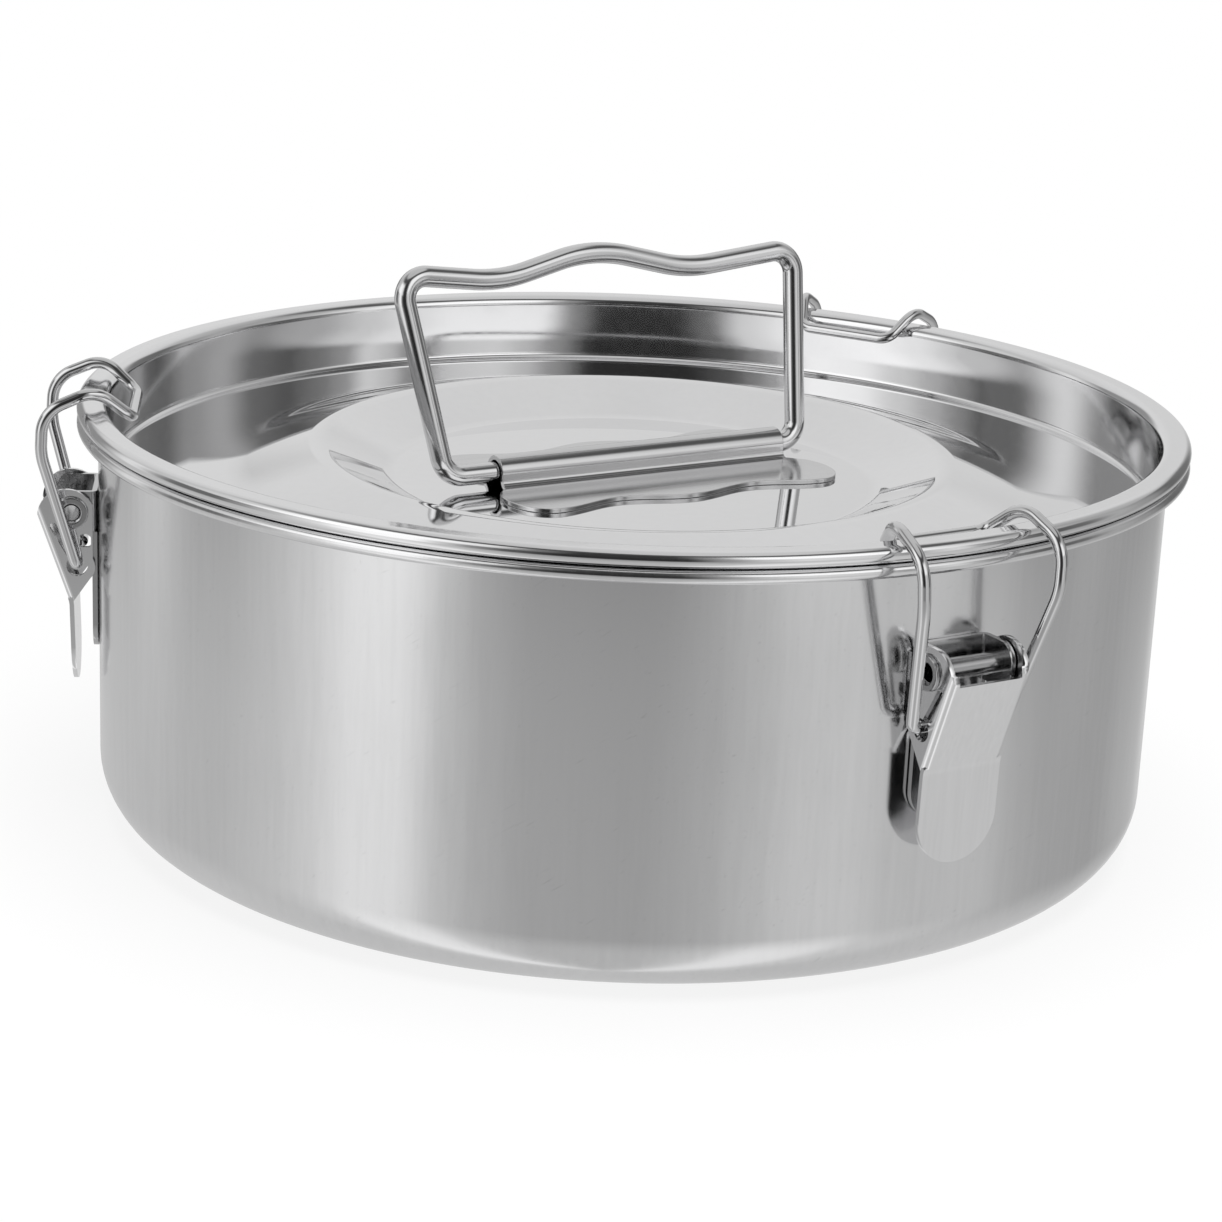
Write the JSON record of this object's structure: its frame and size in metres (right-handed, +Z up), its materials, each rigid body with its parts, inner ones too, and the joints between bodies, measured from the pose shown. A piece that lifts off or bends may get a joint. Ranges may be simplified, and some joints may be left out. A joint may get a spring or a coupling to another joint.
{
  "type": "flan mold",
  "caption": "Round straight-sided baking pan with a sunk clamp-down lid, a folding wire handle and toggle latches round the rim.",
  "frame": {"origin": "centre of the pan's base, on the surface that it stands on", "axes": "+Z up along the pan's axis; +X to the right and -Y towards the viewer of the front latch"},
  "size_m": [0.2074, 0.2003, 0.1036],
  "materials": {
    "pan_steel": "satin polished stainless steel with faint vertical drawing marks",
    "lid_steel": "mirror polished stainless steel",
    "strap_steel": "polished stainless steel strip",
    "bail_wire": "polished stainless steel wire",
    "bracket_steel": "stamped stainless steel sheet",
    "pin_steel": "plain steel rivet",
    "lever_steel": "satin stainless steel sheet",
    "loop_wire": "bright stainless steel wire"
  },
  "bodies": {
    "root": {"pan": "pan_steel", "lid": "lid_steel", "handle_strap": "strap_steel", "front_bracket": "bracket_steel", "front_pin": "pin_steel", "rear_bracket": "bracket_steel", "rear_pin": "pin_steel", "left_bracket": "bracket_steel", "left_pin": "pin_steel"},
    "bail": {"handle_bail": "bail_wire"},
    "front_lever": {"front_lever": "lever_steel"},
    "front_loop": {"front_loop": "loop_wire"},
    "rear_lever": {"rear_lever": "lever_steel"},
    "rear_loop": {"rear_loop": "loop_wire"},
    "left_lever": {"left_lever": "lever_steel"},
    "left_loop": {"left_loop": "loop_wire"}
  },
  "joints": [
    {"name": "bail_hinge", "type": "hinge", "parent": "root", "child": "bail", "pos_m": [0.0011, 0.0028, 0.0648], "axis": [0.8526, 0.5225, 0], "range_deg": [-69, 94]},
    {"name": "front_lever_hinge", "type": "hinge", "parent": "root", "child": "front_lever", "pos_m": [0.05416, -0.08501, 0.05555], "axis": [-0.8434, -0.5373, 0], "range_deg": [0, 110]},
    {"name": "front_loop_hinge", "type": "hinge", "parent": "front_lever", "child": "front_loop", "pos_m": [0.05368, -0.08425, 0.0463], "axis": [-0.8434, -0.5373, 0], "range_deg": [-72, 0]},
    {"name": "rear_lever_hinge", "type": "hinge", "parent": "root", "child": "rear_lever", "pos_m": [0.04779, 0.08875, 0.05555], "axis": [0.8805, -0.4741, 0], "range_deg": [0, 110]},
    {"name": "rear_loop_hinge", "type": "hinge", "parent": "rear_lever", "child": "rear_loop", "pos_m": [0.04736, 0.08796, 0.0463], "axis": [0.8805, -0.4741, 0], "range_deg": [-72, 0]},
    {"name": "left_lever_hinge", "type": "hinge", "parent": "root", "child": "left_lever", "pos_m": [-0.10013, -0.01159, 0.05555], "axis": [-0.1149, 0.9934, 0], "range_deg": [0, 110]},
    {"name": "left_loop_hinge", "type": "hinge", "parent": "left_lever", "child": "left_loop", "pos_m": [-0.09924, -0.01148, 0.0463], "axis": [-0.1149, 0.9934, 0], "range_deg": [-72, 0]}
  ],
  "couplings": [
    {"joint": "front_loop_hinge", "follows": "front_lever_hinge", "ratio": -0.64},
    {"joint": "rear_loop_hinge", "follows": "rear_lever_hinge", "ratio": -0.64},
    {"joint": "left_loop_hinge", "follows": "left_lever_hinge", "ratio": -0.64}
  ]
}
